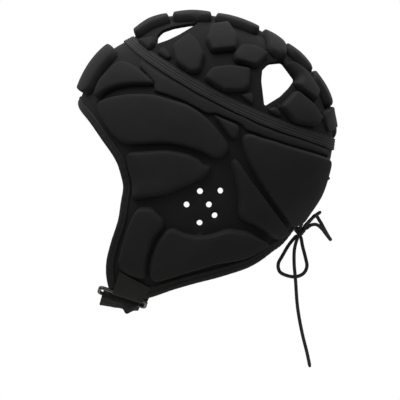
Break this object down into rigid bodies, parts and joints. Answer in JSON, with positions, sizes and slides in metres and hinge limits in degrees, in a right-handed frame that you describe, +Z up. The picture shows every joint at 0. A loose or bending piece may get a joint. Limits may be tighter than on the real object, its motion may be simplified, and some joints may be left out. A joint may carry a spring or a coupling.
{
  "type": "padded sports head guard",
  "caption": "Soft padded head guard for contact sport with ear holes, vents, a strap under the chin and lacing at the nape.",
  "frame": {"origin": "inside of the crown where it rests on the top of the head, straight above the head centre", "axes": "-X the way the face looks, -Y the wearer's left, +Z up"},
  "size_m": [0.2221, 0.1682, 0.3007],
  "materials": {
    "pad_fabric": "matt knit over foam",
    "tape_fabric": "ribbed satin tape",
    "binding_fabric": "matt stretch binding",
    "strap_webbing": "woven webbing",
    "ring_plastic": "semi-gloss",
    "lace_cord": "braided"
  },
  "bodies": {
    "root": {"side_panel_left": "pad_fabric", "side_panel_right": "pad_fabric", "crown_web": "pad_fabric", "seam_tape": "tape_fabric", "face_binding": "binding_fabric", "lower_binding_left": "binding_fabric", "lower_binding_right": "binding_fabric", "forehead_side_pad_left": "pad_fabric", "forehead_side_pad_right": "pad_fabric", "temple_pad_left": "pad_fabric", "temple_pad_right": "pad_fabric", "cheek_pad_left": "pad_fabric", "cheek_pad_right": "pad_fabric", "jaw_front_pad_left": "pad_fabric", "jaw_front_pad_right": "pad_fabric", "jaw_rear_pad_left": "pad_fabric", "jaw_rear_pad_right": "pad_fabric", "behind_ear_pad_left": "pad_fabric", "behind_ear_pad_right": "pad_fabric", "occipital_pad_left": "pad_fabric", "occipital_pad_right": "pad_fabric", "wedge_pad_left": "pad_fabric", "wedge_pad_right": "pad_fabric", "crown_front_pad_left": "pad_fabric", "crown_front_pad_right": "pad_fabric", "crown_top_pad_left": "pad_fabric", "crown_top_pad_right": "pad_fabric", "crown_mid_pad_left": "pad_fabric", "crown_mid_pad_right": "pad_fabric", "crown_side_pad_left": "pad_fabric", "crown_side_pad_right": "pad_fabric", "crown_rear_pad_left": "pad_fabric", "crown_rear_pad_right": "pad_fabric", "crown_back_pad_left": "pad_fabric", "crown_back_pad_right": "pad_fabric", "corner_pad_front_left": "pad_fabric", "corner_pad_front_right": "pad_fabric", "corner_pad_mid_left": "pad_fabric", "corner_pad_mid_right": "pad_fabric", "corner_pad_rear_left": "pad_fabric", "corner_pad_rear_right": "pad_fabric", "forehead_pad": "pad_fabric", "crown_strip_pad_1": "pad_fabric", "crown_strip_pad_2": "pad_fabric", "crown_strip_pad_3": "pad_fabric", "crown_strip_pad_4": "pad_fabric", "crown_strip_pad_5": "pad_fabric", "crown_strip_pad_6": "pad_fabric", "crown_strip_pad_7": "pad_fabric", "jaw_tab": "strap_webbing", "strap_ring": "ring_plastic", "chin_strap": "strap_webbing", "back_lacing": "lace_cord", "lace_knot": "lace_cord", "lace_loop_near": "lace_cord", "lace_loop_far": "lace_cord", "lace_tail_near": "lace_cord", "lace_tail_far": "lace_cord"}
  },
  "joints": []
}
